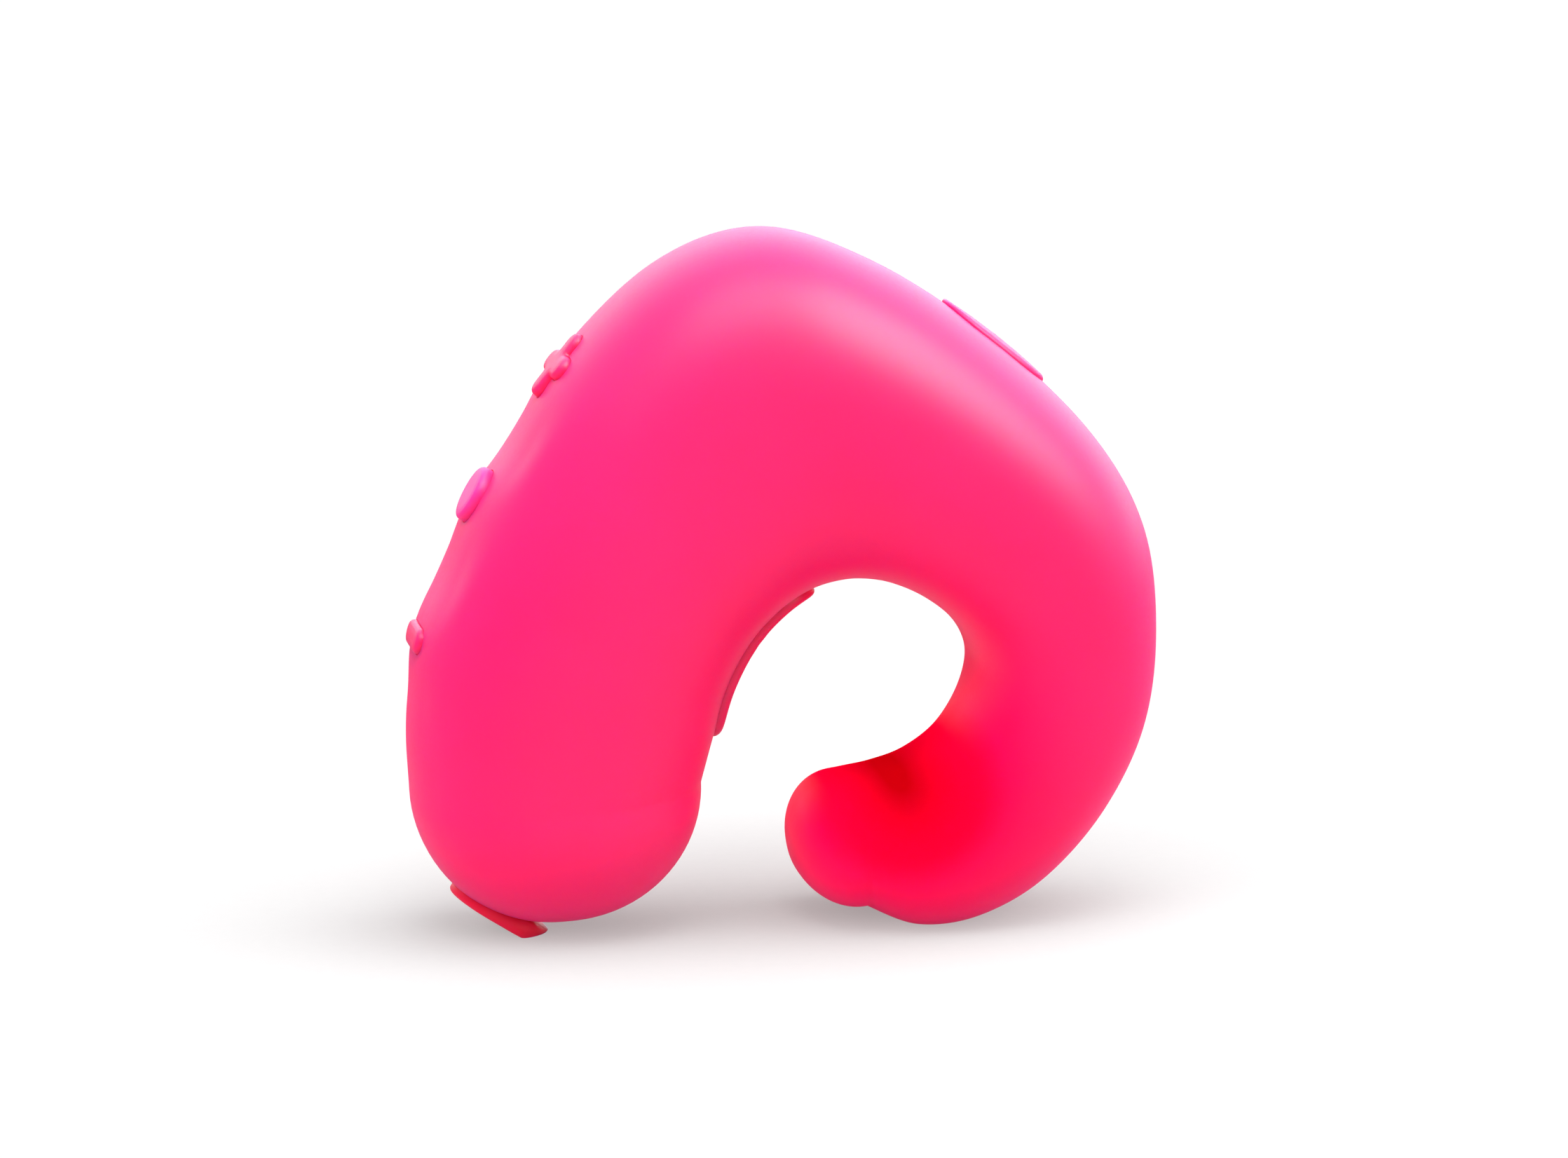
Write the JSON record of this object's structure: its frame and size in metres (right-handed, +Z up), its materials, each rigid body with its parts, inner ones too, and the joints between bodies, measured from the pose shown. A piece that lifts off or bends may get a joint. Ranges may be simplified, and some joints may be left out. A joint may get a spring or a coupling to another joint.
{
  "type": "finger-worn massager",
  "caption": "Hooked soft body with an open finger loop, raised keys on its outer face, and a sealed case inside with a motor, circuit board and battery.",
  "frame": {"origin": "Middle of the bounding box, on the plane it rests on.", "axes": "+X runs from the motor end towards the finger loop, +Y across the body, +Z up as it stands."},
  "size_m": [0.07, 0.0298, 0.0653],
  "materials": {
    "silicone_pink": "matte",
    "pad_silicone": "satin",
    "key_silicone": "matte",
    "power_silicone": "matte",
    "port_silicone": "matte",
    "case_abs": "matte",
    "screw_steel": "satin",
    "plunger_abs": "matte",
    "board_green": "satin",
    "switch_black": "matte",
    "chip_black": "matte",
    "led_white": "gloss",
    "cell_foil": "satin",
    "tape_foam": "matte",
    "motor_steel": "satin",
    "cap_black": "matte",
    "magnet_grey": "satin",
    "bushing_bronze": "satin",
    "sleeve_rubber": "matte",
    "coil_copper": "satin",
    "shaft_steel": "polished",
    "weight_metal": "satin",
    "seal_rubber": "matte",
    "magnet_nickel": "polished",
    "pin_gold": "polished",
    "lead_red": "satin",
    "lead_blue": "satin",
    "lead_black": "satin"
  },
  "bodies": {
    "pod": {"silicone_skin": "silicone_pink", "finger_pad": "pad_silicone", "shell_front": "case_abs", "shell_back": "case_abs", "shell_screws": "screw_steel", "circuit_board": "board_green", "tact_switches": "switch_black", "board_chips": "chip_black", "status_led": "led_white", "battery_cell": "cell_foil", "battery_tape": "tape_foam", "motor_can": "motor_steel", "motor_end_cap": "cap_black", "motor_magnet": "magnet_grey", "motor_bushings": "bushing_bronze", "motor_sleeve": "sleeve_rubber", "port_housing": "port_silicone", "port_seal": "seal_rubber", "port_magnets": "magnet_nickel", "contact_pins": "pin_gold", "battery_leads": "lead_red", "motor_leads": "lead_blue", "charge_leads": "lead_black"},
    "rotor": {"motor_coil": "coil_copper", "motor_shaft": "shaft_steel", "eccentric_weight": "weight_metal"},
    "key_plus": {"button_plus": "key_silicone", "plunger_plus": "plunger_abs"},
    "key_power": {"button_power": "power_silicone", "plunger_power": "plunger_abs"},
    "key_minus": {"button_minus": "key_silicone", "plunger_minus": "plunger_abs"}
  },
  "joints": [
    {"name": "rotor_spin", "type": "hinge", "parent": "pod", "child": "rotor", "pos_m": [-0.0186, 0, 0.0212], "axis": [0, 0, 1], "continuous": true},
    {"name": "plus_press", "type": "slide", "parent": "pod", "child": "key_plus", "axis": [0.7772, 0, -0.6293], "range_m": [0, 0.0005], "stiffness_N_per_m": 1500},
    {"name": "power_press", "type": "slide", "parent": "pod", "child": "key_power", "axis": [0.8704, 0, -0.4924], "range_m": [0, 0.0005], "stiffness_N_per_m": 1500},
    {"name": "minus_press", "type": "slide", "parent": "pod", "child": "key_minus", "axis": [0.9693, 0, -0.2458], "range_m": [0, 0.0005], "stiffness_N_per_m": 1500}
  ]
}
